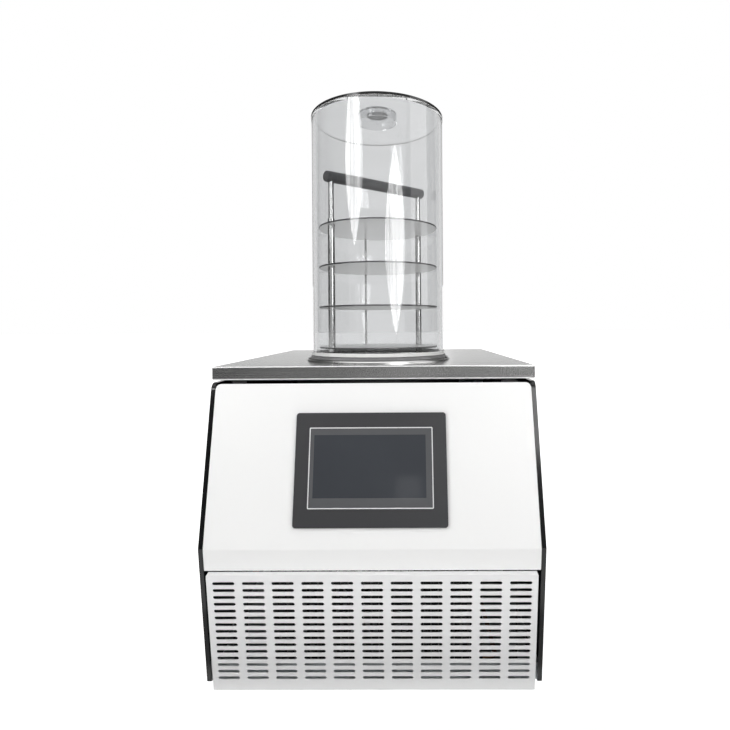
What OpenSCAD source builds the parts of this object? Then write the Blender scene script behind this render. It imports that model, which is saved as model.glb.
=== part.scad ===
// Benchtop freeze dryer: a sheet-metal cabinet with a slanted front, a stainless deck,
// and a clear drying chamber with a sample rack over the cold trap.
// Millimetres, +Z up, the front faces -Y. The origin is on the floor under the middle.

/* [Cabinet] */
// Width over the two side panels
body_w = 460; // [430:5:540]
// Depth of the deck plate, from its front edge to its back edge
body_d = 520; // [500:5:620]
// Height of the deck's upper face above the floor
deck_h = 445; // [435:5:520]
// Height of the rubber feet
foot_h = 13.5; // [10:0.5:20]
// Diameter of the rubber feet
foot_d = 32; // [20:1:44]
// Thickness of the folded steel sheet
sheet_t = 1.5; // [1:0.1:2.5]
// Gap between the deck's lower edge and the side panels
deck_gap = 3.5; // [2:0.5:8]
// How far the cabinet frame stays inside the deck's edges
frame_inset = 26; // [20:1:34]
// Width of the legs of the frame's angle section
angle_w = 20; // [16:1:24]
// Wall of the frame's angle section
angle_t = 2; // [1.5:0.5:3]

/* [Front] */
// How far the front cover's fold stands forward of the deck
nose_out = 54; // [40:1:70]
// Height of that fold above the floor
nose_z = 207; // [195:1:225]
// How far the side panels' upper front corner stands forward of the deck
brow_out = 2; // [0:0.5:6]
// How far the side panels' lower front corner stands forward of the deck
toe_out = 25; // [15:1:35]
// Bend radius of the cover's fold
fold_r = 10; // [4:1:14]
// Width of the side panels' edges, all the way round
edge_w = 6; // [5:0.5:12]
// Gap between the front cover and each side panel
cover_gap = 0.5; // [0.3:0.1:1.5]
// Depth of the cover's turned-in edges
cover_hem = 11; // [8:1:16]
// Corner radius at the top of the cover
cover_corner = 8; // [2:1:14]
// How far the cover's top edge is below the side panels' top edge
cover_drop = 1.4; // [0.5:0.1:4]
// Length of the cover below its fold
cover_lip = 29.5; // [20:0.5:40]

/* [Grille] */
// From the front cover's side edge to the slotted panel's
grille_side = 5; // [3.5:0.5:12]
// How far the slotted panel stands proud of the side panels' edge
grille_proud = 8; // [5:0.5:12]
// Thickness of the slotted panel's wall
grille_t = 1; // [0.8:0.1:2]
// How far the slotted panel reaches below the side panels
grille_drop = 4; // [0:0.5:6]
// Gap between the slotted panel and the front cover
grille_gap = 1.5; // [0.5:0.5:4]
// Columns of slots
slot_columns = 11; // [7:2:11]
// Rows of slots
slot_rows = 15; // [10:1:15]
// Length of a slot
slot_l = 29.3; // [24:0.1:32]
// Height of a slot
slot_h = 4.6; // [2.5:0.1:5]
// Distance between columns
slot_pitch_x = 39.2; // [36:0.1:39.5]
// Distance between rows
slot_pitch_z = 9.95; // [8:0.01:10.2]
// From the panel's top edge to the middle of the first row
slot_start = 11.8; // [10:0.1:16]

/* [Deck and chamber] */
// Depth of the deck plate's folded edge
deck_edge = 19.5; // [12:0.5:22]
// Bend radius of the deck plate
deck_bend = 2; // [1.6:0.1:4]
// Chamber axis, behind the deck's front edge
chamber_y = 151; // [145:1:175]
// Outside diameter of the clear chamber
chamber_d = 222; // [214:1:230]
// Wall of the clear chamber
chamber_wall = 5.5; // [4:0.5:8]
// Height of the clear chamber, from its gasket to its top end
chamber_h = 403; // [380:1:430]
// Thickness of the chamber's lid
lid_t = 6; // [5:0.5:12]
// Height of the black trim round the chamber's top edge
rim_h = 4.5; // [3:0.5:8]
// Thickness of that trim
rim_t = 0.8; // [0.6:0.1:2]
// Diameter of the boss on the lid
boss_d = 66; // [56:1:80]
// Height of the boss on the lid
boss_h = 15.5; // [8:0.5:20]
// Diameter of the plug in the boss
plug_d = 37; // [30:0.5:44]
// Height of the plug
plug_h = 4.5; // [4:0.5:12]
// How deep the plug sits in the boss
plug_seat = 3.5; // [2:0.5:5]
// How far the stainless base ring reaches beyond the chamber
ring_edge = 9.5; // [6.5:0.5:14]
// Height of the stainless base ring
ring_h = 3.5; // [2.5:0.5:6]
// Thickness of the black gasket under the chamber
gasket_t = 2; // [1.5:0.5:4]
// Height of the gasket's lip round the chamber's foot
gasket_lip = 4; // [2:0.5:6]
// Height of the white band round the chamber's foot
band_h = 5.5; // [3:0.5:8]

/* [Sample rack] */
// Diameter of the shelves
shelf_d = 200; // [190:1:202]
// Thickness of a shelf
shelf_t = 2.5; // [1.5:0.5:4]
// Distance between shelves
shelf_pitch = 66.4; // [50:0.1:70]
// Height of the lowest shelf's middle above the deck
shelf_start = 22; // [16:0.5:40]
// Diameter of the two main rods
rod_d = 8.5; // [6:0.5:9]
// Distance of the rods from the rack's axis
rod_r = 89.5; // [70:0.5:90]
// Diameter of the slim third rod
slim_d = 4; // [3:0.5:6]
// Outside diameter of the spacer sleeves
sleeve_d = 11; // [10.5:0.5:13]
// Angle of the handle from the X axis
rack_turn = 37.5; // [0:0.5:60]
// Angle of the slim rod from the handle
slim_turn = 71; // [50:1:120]
// Diameter of the handle bar
handle_d = 18; // [14:1:24]
// Length of the handle bar
handle_l = 200; // [190:1:202]
// Height of the handle bar's axis above the deck
handle_z = 297; // [270:1:340]
// Diameter of the perforated plate that carries the rack
rack_base_d = 206; // [202:0.5:207]
// Thickness of that plate
rack_base_t = 2.5; // [2:0.5:4]

/* [Display] */
// Width of the display's bezel
bezel_w = 207; // [180:0.5:230]
// Height of the display's bezel
bezel_h = 151; // [130:0.5:165]
// How far the bezel stands off the cover
bezel_t = 4.5; // [3:0.5:8]
// Corner radius of the bezel
bezel_r = 4; // [2:0.5:8]
// How far the display's middle is from the cabinet's middle
display_shift = -2; // [-10:0.5:10]
// From the fold up to the bezel's lower edge, along the slant
bezel_start = 27; // [22:0.5:40]
// Width of the touch glass
glass_w = 170; // [165:1:190]
// Height of the touch glass
glass_h = 107.5; // [100:0.5:125]
// How far the glass's middle is above the bezel's middle
glass_up = 2; // [0:0.5:4]
// Thickness of the touch glass
glass_t = 1.8; // [1:0.2:2.2]
// Width of the lit screen
screen_w = 153; // [140:0.5:160]
// Height of the lit screen
screen_h = 83; // [70:0.5:86]
// Depth of the display's housing behind the cover
housing_depth = 26; // [20:1:28]
// Wall of the display's housing
housing_wall = 2; // [1.5:0.5:3]
// Margin from the bezel's edge to the housing
housing_margin = 8; // [6:0.5:12]

/* [Cold trap] */
// Inside diameter of the cold trap
trap_d = 200; // [190:1:202]
// Depth of the cold trap below the deck
trap_depth = 200; // [180:5:205]
// Wall of the cold trap
trap_wall = 1.2; // [1:0.1:2]
// Corner radius at the trap's bottom
trap_corner = 12; // [8:1:24]
// Diameter of the evaporator's copper tube
coil_d = 8; // [6:0.5:8.5]
// Rise of the evaporator coil in one turn
coil_pitch = 17; // [12:0.5:18]
// Full turns of the evaporator coil, before its last half turn
coil_turns = 7; // [4:1:7]
// Thickness of the foam round the evaporator
foam_t = 25; // [15:1:26]
// Outside diameter of the vacuum pipe
vacuum_pipe_d = 28; // [22:1:30]
// Wall of the vacuum pipe
vacuum_pipe_wall = 2; // [1.5:0.25:3]
// Diameter of the vacuum port's flange
port_flange_d = 40; // [36:1:48]
// How far the vacuum port reaches behind the rear panel
port_reach = 40; // [36:1:60]

/* [Cooling unit] */
// Diameter of the compressor's shell
compressor_d = 150; // [120:5:155]
// Height of the compressor's shell
compressor_h = 185; // [150:5:200]
// Width of the condenser's fin block
condenser_w = 290; // [240:5:300]
// Height of the condenser's fin block
condenser_h = 160; // [140:5:170]
// Depth of the condenser's fin block
condenser_d = 36; // [30:1:38]
// Number of fins in the condenser
fin_count = 28; // [16:1:40]
// Diameter of the fan
fan_d = 140; // [110:2:144]
// Gap between the fan's blades and the shroud
fan_gap = 3; // [2:0.5:6]
// Number of fan blades
blade_count = 5; // [4:1:7]
// Diameter of the copper lines
line_d = 7; // [6:0.5:8]

/* [Rear fittings] */
// Diameter of the drain pipe
drain_d = 12; // [10:0.5:14]
// Height of the drain valve above the floor
drain_z = 120; // [100:1:140]
// Length of the drain valve's lever
lever_l = 34; // [28:1:45]
// Travel of the power rocker from off to on, in degrees
rocker_angle = 16; // [10:1:20]

/* [Hidden] */
$fn = 64;

eps = 0.01;      // overlap of a cutting tool past the face that it cuts
fit = 0.2;       // play of a piece that is set into another by hand
slip = 0.1;      // play on the diameter of a rod in its hole
shelf_count = 4; // one node stands for each shelf

// The grille's top edge is the front of the whole machine, and the vacuum port its back.
side_bottom = foot_h - sheet_t;
side_top = deck_h - deck_edge - deck_gap;
lean_up = atan((nose_out - brow_out) / (side_top - nose_z));
lean_low = atan((nose_out - toe_out) / (nose_z - side_bottom));
cover_top = side_top - cover_drop;
cover_w = body_w - 2 * (edge_w + cover_gap);
grille_w = cover_w - 2 * grille_side;
grille_top_s = cover_lip / cos(lean_low) + grille_gap;
grille_low_s = (nose_z - side_bottom + grille_drop) / cos(lean_low);
grille_h = grille_low_s - grille_top_s;
front_reach = nose_out - grille_top_s * sin(lean_low) + grille_proud * cos(lean_low);
overall_d = front_reach + body_d + port_reach;
front_y = front_reach - overall_d / 2;

pan_floor = foot_h + sheet_t;
frame_top = deck_h - sheet_t;
trap_r = trap_d / 2;
trap_out_r = trap_r + trap_wall;
trap_floor = deck_h - trap_depth;
flange_t = trap_wall;
flange_r = trap_r + 11;
ring_top = deck_h + ring_h;
gasket_top = ring_top + gasket_t;
tube_r = chamber_d / 2;
ring_r = tube_r + ring_edge;
ring_bevel = 1.8;
gasket_r = ring_r - ring_bevel - 0.1;
tube_in_r = tube_r - chamber_wall;
tube_top = gasket_top + chamber_h;
coil_steps = 24;
coil_r = (trap_out_r + coil_d / 2 + fit) / cos(180 / coil_steps);
coil_rise = (coil_turns + 0.5) * coil_pitch;
coil_top = deck_h - 22;
coil_low = coil_top - coil_rise;
foam_in_r = coil_r + coil_d / 2 + 1;
foam_r = foam_in_r + foam_t;
foam_low = trap_floor - foam_t;

// The unit vector along v.
function unit(v) = v / norm(v);

// A round corner at q, between p and r, as points on an arc of the given radius.
function arc_corner(p, q, r, rad, n) =
    let (a = unit(p - q), b = unit(r - q), half = acos(a * b) / 2,
         c = q + unit(a + b) * rad / sin(half), sweep = 180 - 2 * half,
         v0 = q + a * rad / tan(half) - c, v1 = q + b * rad / tan(half) - c)
    [for (i = [0:n]) c + (v0 * sin(sweep * (1 - i / n)) + v1 * sin(sweep * i / n)) / sin(sweep)];

// A closed outline with each corner rounded by its own radius; a radius of 0 leaves it sharp.
function rounded(path, radii, n = 8) =
    let (m = len(path))
    [for (i = [0:m - 1])
        each radii[i] > 0
            ? arc_corner(path[(i + m - 1) % m], path[i], path[(i + 1) % m], radii[i], n)
            : [path[i]]];

// An open route with all of its inner corners bent to one radius.
function bent(path, rad, n = 5) =
    let (m = len(path))
    [path[0], for (i = [1:m - 2]) each arc_corner(path[i - 1], path[i], path[i + 1], rad, n),
     path[m - 1]];

// A rectangle centred on the origin with round corners.
function plate_outline(w, h, rad, n = 6) =
    rounded([[-w / 2, -h / 2], [w / 2, -h / 2], [w / 2, h / 2], [-w / 2, h / 2]],
            [rad, rad, rad, rad], n);

// The directions along an open route, and a side direction that turns with it.
function tangents(p) =
    [for (i = [0:len(p) - 1]) unit(p[min(i + 1, len(p) - 1)] - p[max(i - 1, 0)])];
function square_to(v, t) = unit(v - (v * t) * t);
function side_turns(t, first) =
    [for (i = 0, s = square_to(first, t[0]); i < len(t);
          i = i + 1, s = i < len(t) ? square_to(s, t[i]) : s) s];

// A round tube or rod that follows a route.
module sweep_round(path, r, sides = 8, first = [0.1, 0.2, 1]) {
    t = tangents(path);
    s = side_turns(t, first);
    n = len(path);
    points = [for (i = [0:n - 1], k = [0:sides - 1])
        path[i] + r * (cos(360 * k / sides) * s[i] + sin(360 * k / sides) * cross(t[i], s[i]))];
    walls = [for (i = [0:n - 2], k = [0:sides - 1])
        let (a = i * sides + k, b = i * sides + (k + 1) % sides)
        [a, a + sides, b + sides, b]];
    start = [for (k = [0:sides - 1]) k];
    end = [for (k = [sides - 1:-1:0]) (n - 1) * sides + k];
    polyhedron(points, concat(walls, [start], [end]));
}

// Places what is drawn from the deck's front edge into the machine's own frame.
module placed() {
    translate([0, front_y, 0]) children();
}

// Extrudes a (y, z) outline along X, centred on the middle.
module across(width) {
    translate([-width / 2, 0, 0]) rotate([90, 0, 90]) linear_extrude(width) children();
}

// Extrudes an (x, z) outline towards the front by the given thickness.
module forward(thickness) {
    rotate([90, 0, 0]) linear_extrude(thickness) children();
}

// Stands what is drawn on the slanted upper front: x across, z up the slant, -y outwards.
module on_slant() {
    placed() translate([0, -nose_out, nose_z]) rotate([-lean_up, 0, 0]) children();
}

// The same for the lower front, with z measured up from the fold, so it is negative here.
module on_toe() {
    placed() translate([0, -nose_out, nose_z]) rotate([lean_low, 0, 0]) children();
}

// Stands what is drawn on the chamber's axis.
module on_axis() {
    translate([0, front_y + chamber_y, 0]) children();
}

// A full ring of rectangular section on the chamber's axis.
module ring(r_in, r_out, z0, z1) {
    on_axis() rotate_extrude($fn = 128)
        translate([r_in, z0]) square([r_out - r_in, z1 - z0]);
}

// ---- Cabinet ----

pan_front = -toe_out + sheet_t + 3;
pan_back = body_d - 2 * sheet_t - fit;
pan_lip = 22;
pan_slot_x = 150;
pan_slot_pitch = 52;

// Folded tray that carries the cooling unit. Its sides stand inside the side panels.
module base_pan() {
    w = body_w - 2 * sheet_t;
    color("dimgray") placed() difference() {
        translate([-w / 2, pan_front, foot_h])
            cube([w, pan_back - pan_front, pan_lip]);
        translate([-w / 2 + sheet_t, pan_front + sheet_t, pan_floor])
            cube([w - 2 * sheet_t, pan_back - pan_front - 2 * sheet_t, pan_lip]);
        for (x = [-pan_slot_x, pan_slot_x], i = [-1:1])
            translate([x, compressor_y + pan_slot_pitch * i, foot_h - eps])
                linear_extrude(sheet_t + 2 * eps)
                    polygon(plate_outline(50, 6, 2.9, 4));
    }
}

foot_x = body_w / 2 - 42;
foot_front = 22;
foot_back = body_d - 40;

// Four rubber feet, each a short cone with a flat sole.
module feet() {
    color([0.08, 0.08, 0.08]) placed()
        for (x = [-foot_x, foot_x], y = [foot_front, foot_back])
            translate([x, y, 0])
                rotate_extrude()
                    polygon([[0, 0], [foot_d / 2 - 3, 0], [foot_d / 2 - 1.5, 1.5],
                             [foot_d / 2, foot_h], [0, foot_h]]);
}

// The front line of the cabinet, moved inwards by d, at a height z on it.
up_dir = [sin(lean_up), cos(lean_up)];
low_dir = [-sin(lean_low), cos(lean_low)];
up_in = [cos(lean_up), -sin(lean_up)];
low_in = [cos(lean_low), sin(lean_low)];
function on_up(z, d) = [-nose_out, nose_z] + up_dir * (z - nose_z) / cos(lean_up) + up_in * d;
function on_low(z, d) = [-nose_out, nose_z] + low_dir * (z - nose_z) / cos(lean_low) + low_in * d;
function fold_point(d) = [-nose_out, nose_z] + d * (up_in + low_in) / (1 + up_in * low_in);

frame_x = body_w / 2 - frame_inset;
frame_front = ceil(on_up(cover_top, cover_hem)[0]);
frame_back = body_d - sheet_t - 12;

// One upright of the frame, with its outer corner at the origin and legs towards +x and +y.
module upright(h) {
    linear_extrude(h)
        polygon([[0, 0], [angle_w, 0], [angle_w, angle_t], [angle_t, angle_t],
                 [angle_t, angle_w], [0, angle_w]]);
}

tab_h = 16;

// A welded tab from an upright's outer face to the inside of a panel's turned edge.
module tab(x_face, y_tip, z) {
    y1 = frame_front + 6;
    y0 = ceil(y_tip);
    translate([0, 0, floor(z) - tab_h / 2]) linear_extrude(tab_h)
        polygon([[frame_x - 1, y1], [x_face - sheet_t, y1], [x_face - sheet_t, y0], [x_face, y0],
                 [x_face, y1 + sheet_t], [frame_x + sheet_t, y1 + sheet_t],
                 [frame_x + sheet_t, y1 + 12], [frame_x - 1, y1 + 12]]);
}

// Welded frame: four uprights, a top ring that carries the deck, two rails by the trap,
// and the tabs that hold the front cover and the slotted panel.
module frame() {
    h = frame_top - pan_floor;
    depth = frame_back - frame_front;
    rail_x = foam_r + 2;
    color("dimgray") placed() union() {
        for (sx = [0, 1])
            mirror([sx, 0, 0]) {
                translate([-frame_x, frame_front, pan_floor]) upright(h);
                translate([-frame_x, frame_back, pan_floor]) mirror([0, 1, 0]) upright(h);
                translate([rail_x, frame_front, frame_top - angle_t])
                    cube([angle_w, depth, angle_t]);
                for (z = [nose_z + 30, side_top - 45])
                    tab(cover_w / 2 - sheet_t, on_up(z, 0)[0] + 6, z);
                for (z = [side_bottom + 36, nose_z - 52])
                    tab(grille_w / 2 - grille_t, on_low(z, 0)[0] - grille_proud + 3, z);
            }
        difference() {
            translate([-frame_x, frame_front, frame_top - angle_w])
                cube([2 * frame_x, depth, angle_w]);
            translate([-frame_x + angle_t, frame_front + angle_t, frame_top - angle_w - eps])
                cube([2 * (frame_x - angle_t), depth - 2 * angle_t, angle_w - angle_t + eps]);
            translate([-frame_x + angle_w, frame_front + angle_w, frame_top - angle_w - eps])
                cube([2 * (frame_x - angle_w), depth - 2 * angle_w, angle_w + 1]);
        }
    }
}

side_outline = [[body_d - sheet_t, side_bottom], [body_d - sheet_t, side_top],
                [-brow_out, side_top], [-nose_out, nose_z], [-toe_out, side_bottom]];

function inset_corner(p, q, r, d) =
    let (u = unit(q - p), v = unit(r - q), m = [-u[1], u[0]], n = [-v[1], v[0]])
    q + d * (m + n) / (1 + m * n);
function inset(path, d) =
    let (m = len(path))
    [for (i = [0:m - 1]) inset_corner(path[(i + m - 1) % m], path[i], path[(i + 1) % m], d)];

// A side panel: a flat skin with its edge turned in all the way round.
module side_panel() {
    radii = [sheet_t, sheet_t, 12, fold_r, 4];
    inner = [for (r = radii) r - sheet_t];
    placed() difference() {
        translate([body_w / 2 - edge_w, 0, 0])
            rotate([90, 0, 90]) linear_extrude(edge_w)
                polygon(rounded(side_outline, radii));
        translate([body_w / 2 - edge_w - eps, 0, 0])
            rotate([90, 0, 90]) linear_extrude(edge_w - sheet_t + eps)
                polygon(rounded(inset(side_outline, sheet_t), inner));
    }
}

module side_panel_right() {
    color([0.12, 0.12, 0.13]) side_panel();
}

module side_panel_left() {
    color([0.12, 0.12, 0.13]) mirror([1, 0, 0]) side_panel();
}

vent_rows = 16;
vent_pitch = 14;
vent_l = 70;
vent_h = 5;
vent_x = -115;
vent_z = 300;
port_x = 0;
port_z = trap_floor + trap_corner + vacuum_pipe_d / 2 + 6;
drain_x = 24;
inlet_x = 160;
inlet_z = 62;
outlet_x = 96;
switch_z = 122;
inlet_w = 28;
inlet_h = 22;
outlet_w = 33;
outlet_h = 25;
switch_w = 21.5;
switch_h = 27;
screw_inset = 4;

// Flat rear sheet with vents and the cut-outs for the rear fittings.
module rear_panel() {
    w = body_w - 1;
    h = side_top - side_bottom - 1;
    color([0.15, 0.15, 0.16]) placed() translate([0, body_d, side_bottom + 0.5]) forward(sheet_t)
        difference() {
            translate([0, h / 2]) polygon(plate_outline(w, h, 3));
            for (i = [0:vent_rows - 1], c = [-0.6, 0.6])
                translate([vent_x + c * (vent_l + 10), vent_z - vent_pitch * i - side_bottom])
                    vent();
            translate([port_x, port_z - side_bottom - 0.5]) circle(d = vacuum_pipe_d + 2);
            translate([drain_x, drain_z - side_bottom - 0.5]) circle(d = drain_d + 1);
            translate([inlet_x, inlet_z - side_bottom - 0.5])
                square([inlet_w, inlet_h], center = true);
            translate([outlet_x, inlet_z - side_bottom - 0.5])
                square([outlet_w, outlet_h], center = true);
            translate([inlet_x, switch_z - side_bottom - 0.5])
                square([switch_w, switch_h], center = true);
        }
}

// One rear vent: a slot with round ends.
module vent() {
    square([vent_l - vent_h, vent_h], center = true);
    for (s = [-1, 1])
        translate([s * (vent_l - vent_h) / 2, 0]) circle(d = vent_h, $fn = 24);
}

// Pan-head screws that hold the rear panel to the side panels' turned edges.
module rear_screws() {
    z0 = side_bottom + 18;
    z1 = side_top - 18;
    color("silver") placed()
        for (x = [-1, 1], i = [0:4])
            translate([x * (body_w / 2 - screw_inset), body_d, z0 + (z1 - z0) * i / 4])
                rotate([-90, 0, 0]) rotate_extrude($fn = 32)
                    polygon([[0, 0], [3, 0], [3, 1], [2, 1.8], [0, 2]]);
}

// ---- Front ----

// The (y, z) section between two distances behind the front line.
function front_section(z_top, z_low, d0, d1) =
    rounded([on_up(z_top, d0), fold_point(d0), on_low(z_low, d0),
             on_low(z_low, d1), fold_point(d1), on_up(z_top, d1)],
            [0, max(fold_r - d0, 1), 0, 0, 0, 0]);

// The cover's body, drawn in by a margin all round, with round top corners.
module cover_form(margin, depth) {
    top = cover_top - margin;
    r = max(cover_corner - margin, 1);
    x = cover_w / 2 - margin;
    s = (top - nose_z) / cos(lean_up);
    difference() {
        placed() across(cover_w - 2 * margin)
            polygon(front_section(top, nose_z - cover_lip + margin, margin, depth));
        for (side = [-1, 1])
            on_slant() translate([0, depth + 5, 0]) forward(depth + 10)
                difference() {
                    translate([side * (x - r / 2 + 1), s - r / 2 + 1])
                        square([r + 2, r + 2], center = true);
                    translate([side * (x - r), s - r]) circle(r);
                }
    }
}

housing_w = bezel_w - 2 * housing_margin;
housing_h = bezel_h - 2 * housing_margin;
display_s = bezel_start + bezel_h / 2;

// White front cover: one folded sheet with turned-in edges and a cut-out for the display.
module front_cover() {
    color("white") difference() {
        cover_form(0, cover_hem);
        cover_form(sheet_t, cover_hem + 4);
        on_slant() translate([display_shift, 5, display_s])
            forward(15) polygon(plate_outline(housing_w + 2 * fit, housing_h + 2 * fit, 3));
    }
}

// One slot of the front panel, with round ends.
module slot() {
    square([slot_l - slot_h, slot_h], center = true);
    for (s = [-1, 1])
        translate([s * (slot_l - slot_h) / 2, 0]) circle(d = slot_h, $fn = 24);
}

// Slotted air panel: a shallow folded tray that hangs in front of the condenser.
module grille_panel() {
    color("gainsboro") on_toe() difference() {
        translate([0, 0, -grille_low_s]) forward(grille_proud)
            translate([0, grille_h / 2]) polygon(plate_outline(grille_w, grille_h, grille_t + 0.4));
        translate([0, eps, -grille_low_s]) forward(grille_proud - grille_t + eps)
            translate([0, grille_h / 2])
                polygon(plate_outline(grille_w - 2 * grille_t, grille_h - 2 * grille_t, 0.4));
        translate([0, 1, -grille_top_s - slot_start]) forward(grille_proud + 2)
            for (c = [0:slot_columns - 1], i = [0:slot_rows - 1])
                translate([(c - (slot_columns - 1) / 2) * slot_pitch_x, -slot_pitch_z * i])
                    slot();
    }
}

// A box with rounded edges, as the deck's folded and welded corners are.
module deck_form(margin, low, foot) {
    r = deck_bend - margin;
    z1 = deck_h - margin;
    w = body_w - 2 * margin;
    intersection() {
        translate([0, margin, 0]) rotate([90, 0, 90]) translate([0, 0, -w / 2]) linear_extrude(w)
            polygon(rounded([[0, low], [body_d - 2 * margin, low],
                             [body_d - 2 * margin, z1], [0, z1]], [foot, foot, r, r], 4));
        translate([0, body_d - margin, 0]) forward(body_d - 2 * margin)
            polygon(rounded([[-w / 2, low], [w / 2, low], [w / 2, z1], [-w / 2, z1]],
                            [foot, foot, r, r], 4));
    }
}

deck_foot = 2;      // bend radius of the deck's lower edge
deck_return = 6;    // width of the return along that edge

// Stainless deck: a sheet with its edges folded down and in, and the mouth of the cold trap.
module deck_plate() {
    low = deck_h - deck_edge;
    color("lightsteelblue") placed() difference() {
        deck_form(0, low, deck_foot);
        deck_form(sheet_t, low + sheet_t, deck_foot - sheet_t);
        translate([deck_return - body_w / 2, deck_return, low - 1])
            cube([body_w - 2 * deck_return, body_d - 2 * deck_return, sheet_t + 2]);
        translate([0, chamber_y, deck_h - 5]) cylinder(r = trap_out_r + fit, h = 10, $fn = 128);
    }
}

// ---- Display ----

glass_set = 0.2;   // how far the glass stays below the bezel's face
lcd_t = 6;         // depth of the screen module behind the glass

glass_back = bezel_t - glass_set - glass_t;

// Moulded bezel with a window for the glass, flat on the cover.
module display_bezel() {
    color([0.33, 0.33, 0.35]) on_slant() translate([display_shift, 0, display_s]) difference() {
        forward(bezel_t) polygon(plate_outline(bezel_w, bezel_h, bezel_r));
        translate([0, -glass_back, glass_up]) forward(glass_t + glass_set + 1)
            polygon(plate_outline(glass_w + fit, glass_h + fit, 2));
        translate([0, eps, glass_up]) forward(bezel_t + 1)
            polygon(plate_outline(glass_w - 8, glass_h - 8, 2));
    }
}

// Touch glass set into the bezel.
module display_glass() {
    color([0.2, 0.22, 0.25]) on_slant()
        translate([display_shift, -glass_back, display_s + glass_up])
            forward(glass_t) polygon(plate_outline(glass_w, glass_h, 1.9));
}

screen_x = display_shift - 1.5;
screen_s = display_s + glass_up + 1.8;

// Screen module, bonded to the back of the glass.
module display_screen() {
    color([0.16, 0.18, 0.22]) on_slant()
        translate([screen_x, lcd_t - glass_back, screen_s])
            forward(lcd_t) polygon(plate_outline(screen_w, screen_h, 1));
}

// Housing behind the bezel, open at the front, with cooling slots in its back.
module display_housing() {
    color([0.1, 0.1, 0.1]) on_slant() translate([display_shift, 0, display_s]) difference() {
        translate([0, housing_depth, 0]) forward(housing_depth)
            polygon(plate_outline(housing_w, housing_h, 2.8));
        translate([0, housing_depth - housing_wall, 0]) forward(housing_depth)
            polygon(plate_outline(housing_w - 2 * housing_wall, housing_h - 2 * housing_wall, 1));
        for (i = [-3:3])
            translate([i * 16, housing_depth + 1, 0]) forward(housing_wall + 2)
                polygon(plate_outline(4, 50, 1.9, 3));
    }
}

// Four clamp blocks that draw the housing against the cover from behind.
module display_clips() {
    z = housing_h / 2;
    color("silver") on_slant() translate([display_shift, 0, display_s])
        for (sx = [-1, 1], sz = [-1, 1])
            translate([sx * housing_w * 0.3, sheet_t, sz * (z + 4)])
                rotate([-90, 0, 0]) linear_extrude(16)
                    polygon(plate_outline(12, 8, 1, 3));
}

// ---- Chamber ----

// Polished ring over the cold trap's flange.
module base_ring() {
    color("silver") on_axis() rotate_extrude($fn = 128)
        polygon([[flange_r + fit, deck_h], [ring_r, deck_h],
                 [ring_r, ring_top - ring_bevel], [ring_r - ring_bevel, ring_top],
                 [rack_base_d / 2 + 1, ring_top], [rack_base_d / 2 + 1, deck_h + flange_t],
                 [flange_r + fit, deck_h + flange_t]]);
}

band_low = gasket_top + gasket_lip;
gasket_edge = 1.2;   // thickness of the gasket at its rim
gasket_tip = 1.5;    // thickness of its lip at the top

// Black rubber gasket with a sloping lip round the chamber's foot.
module chamber_gasket() {
    lip_in = tube_r + slip / 2;
    color([0.08, 0.08, 0.08]) on_axis() rotate_extrude($fn = 128)
        polygon([[tube_in_r - 1, ring_top], [gasket_r, ring_top],
                 [gasket_r, ring_top + gasket_edge], [lip_in + gasket_tip, band_low],
                 [lip_in, band_low], [lip_in, gasket_top], [tube_in_r - 1, gasket_top]]);
}

// White band round the chamber's foot, on the gasket's lip.
module foot_band() {
    color("white") ring(tube_r + slip / 2, tube_r + 1.6, band_low, band_low + band_h);
}

// Clear acrylic tube.
module chamber_tube() {
    color([0.8, 0.85, 0.9, 0.4]) ring(tube_in_r, tube_r, gasket_top, tube_top);
}

vent_r = 3;        // hole in the lid under the plug
boss_wall = 1.2;
port_r = plug_d / 2 - 1;
rim_up = 0.8;      // thickness of the trim's inward lip
rim_in = 3;        // how far that lip reaches in over the tube's end

// Clear moulded lid, set into the tube's top end: a hollow boss holds the plug over a vent.
module chamber_lid() {
    low = tube_top - lid_t;
    top = tube_top + boss_h;
    seat = top - plug_seat;
    hollow_r = boss_d / 2 - boss_wall;
    color([0.8, 0.85, 0.9, 0.5]) on_axis() rotate_extrude($fn = 128)
        polygon([[vent_r, low], [tube_in_r, low], [tube_in_r, tube_top], [boss_d / 2, tube_top],
                 [boss_d / 2, top - 1], [boss_d / 2 - 1, top], [plug_d / 2 + fit, top],
                 [plug_d / 2 + fit, seat], [port_r, seat], [port_r, seat - boss_wall],
                 [hollow_r, seat - boss_wall], [hollow_r, tube_top], [vent_r, tube_top]]);
}

// Black trim folded over the tube's top edge.
module lid_rim() {
    skin = tube_r + slip / 2;
    color([0.05, 0.05, 0.05]) on_axis() rotate_extrude($fn = 128)
        polygon([[skin, tube_top + rim_up - rim_h], [skin + rim_t, tube_top + rim_up - rim_h],
                 [skin + rim_t, tube_top + rim_up - 0.3], [skin + rim_t - 0.3, tube_top + rim_up],
                 [tube_r - rim_in, tube_top + rim_up], [tube_r - rim_in, tube_top],
                 [skin, tube_top]]);
}

// Grey plug that closes the port.
module lid_plug() {
    low = tube_top + boss_h - plug_seat;
    color("gray") on_axis() rotate_extrude($fn = 96)
        polygon([[0, low], [plug_d / 2, low], [plug_d / 2, low + plug_h - 1.2],
                 [plug_d / 2 - 1.2, low + plug_h], [0, low + plug_h]]);
}

// ---- Sample rack ----

rack_floor = deck_h + flange_t;
rod_foot = rack_floor + rack_base_t;
function shelf_mid(i) = deck_h + shelf_start + shelf_pitch * (i - 1);
top_shelf = shelf_mid(shelf_count);
handle_mid = deck_h + handle_z;

// Turns what is drawn along +x to the right end (1) or the left end (-1) of the handle.
module at_rod(side) {
    on_axis() rotate([0, 0, rack_turn]) translate([side * rod_r, 0, 0]) children();
}

module at_slim() {
    on_axis() rotate([0, 0, rack_turn + slim_turn]) translate([rod_r, 0, 0]) children();
}

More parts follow.
